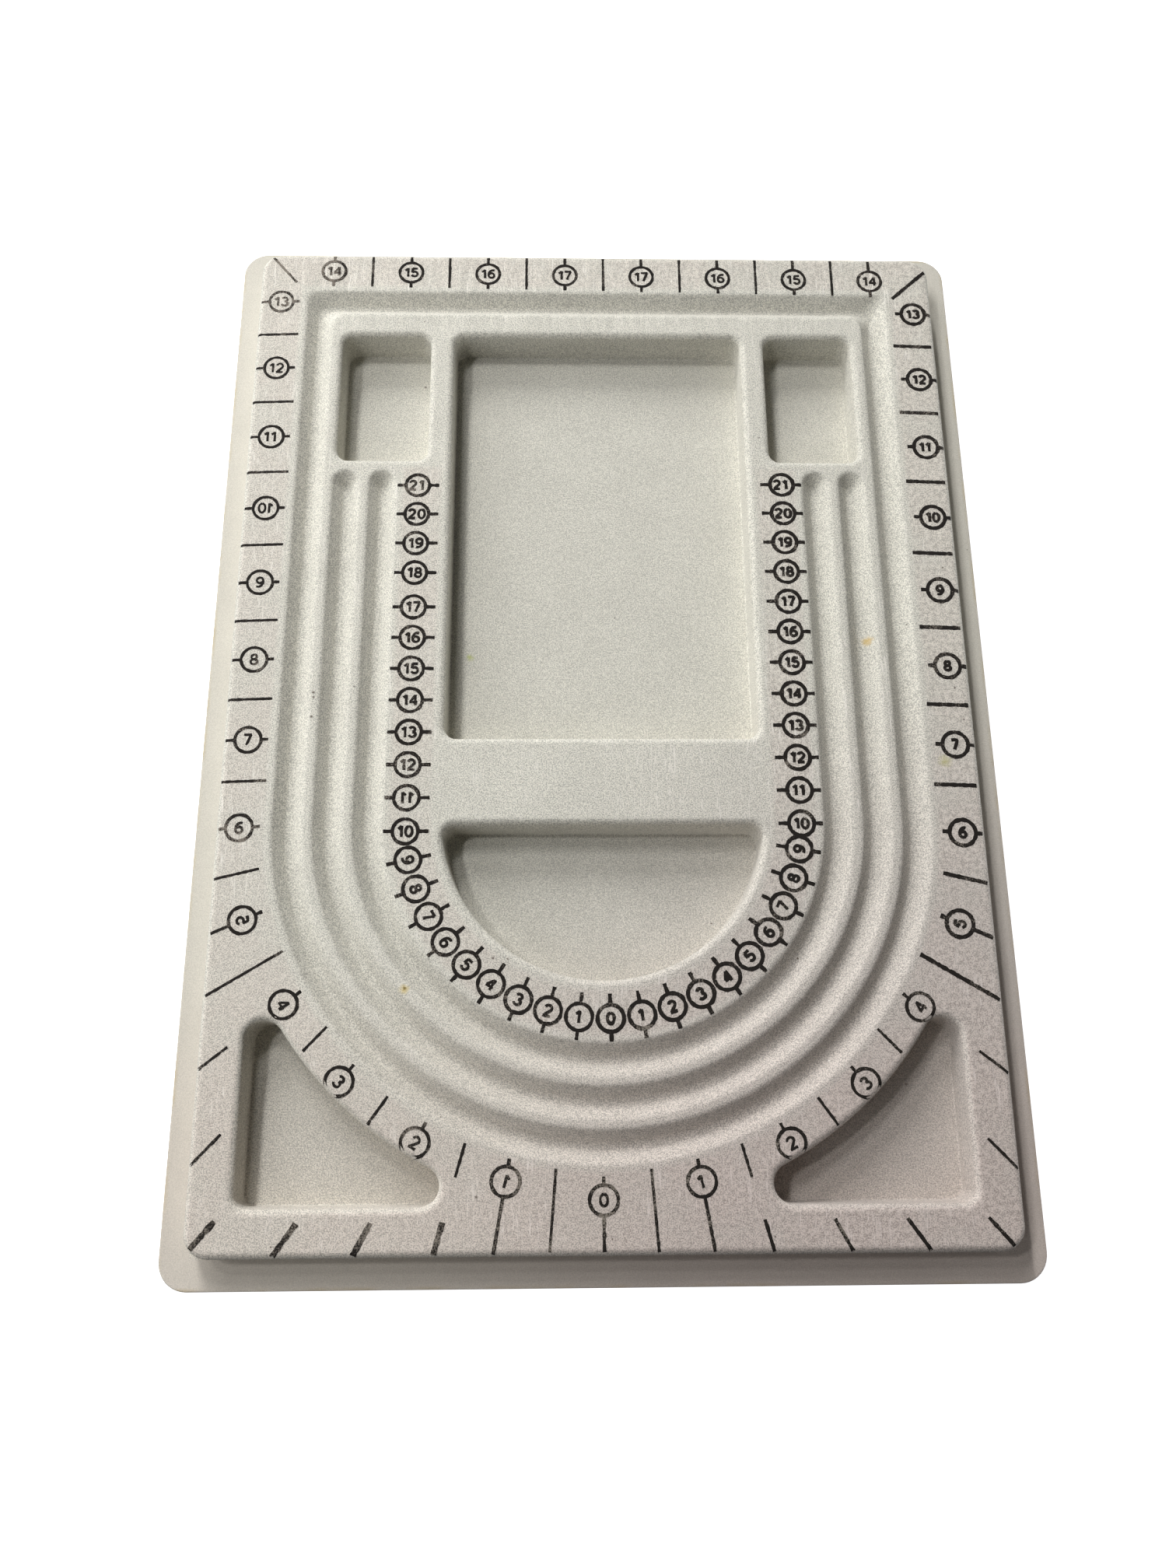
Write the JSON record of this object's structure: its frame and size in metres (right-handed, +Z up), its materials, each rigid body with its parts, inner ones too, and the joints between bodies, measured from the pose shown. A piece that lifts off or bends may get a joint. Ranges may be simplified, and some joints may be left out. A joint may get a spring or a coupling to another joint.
{
  "type": "bead board",
  "caption": "Flocked bead board: a shallow vacuum-formed tray with U-shaped bead channels, sorting compartments and printed length scales, for laying out necklaces before stringing",
  "frame": {"origin": "on the table under the middle of the footprint", "axes": "+Z up, +Y from the user's edge to the far edge with the small compartments, +X to the user's right"},
  "size_m": [0.24, 0.33, 0.013],
  "materials": {
    "polystyrene_sheet": "vacuum-formed, plain, satin",
    "flock_pile": "short electrostatic flock, pressed smoother on the flat lands",
    "scale_ink": "dark stamped ink with soft edges, dull"
  },
  "bodies": {
    "root": {"formed_shell": "polystyrene_sheet", "flock_layer": "flock_pile"}
  },
  "joints": []
}
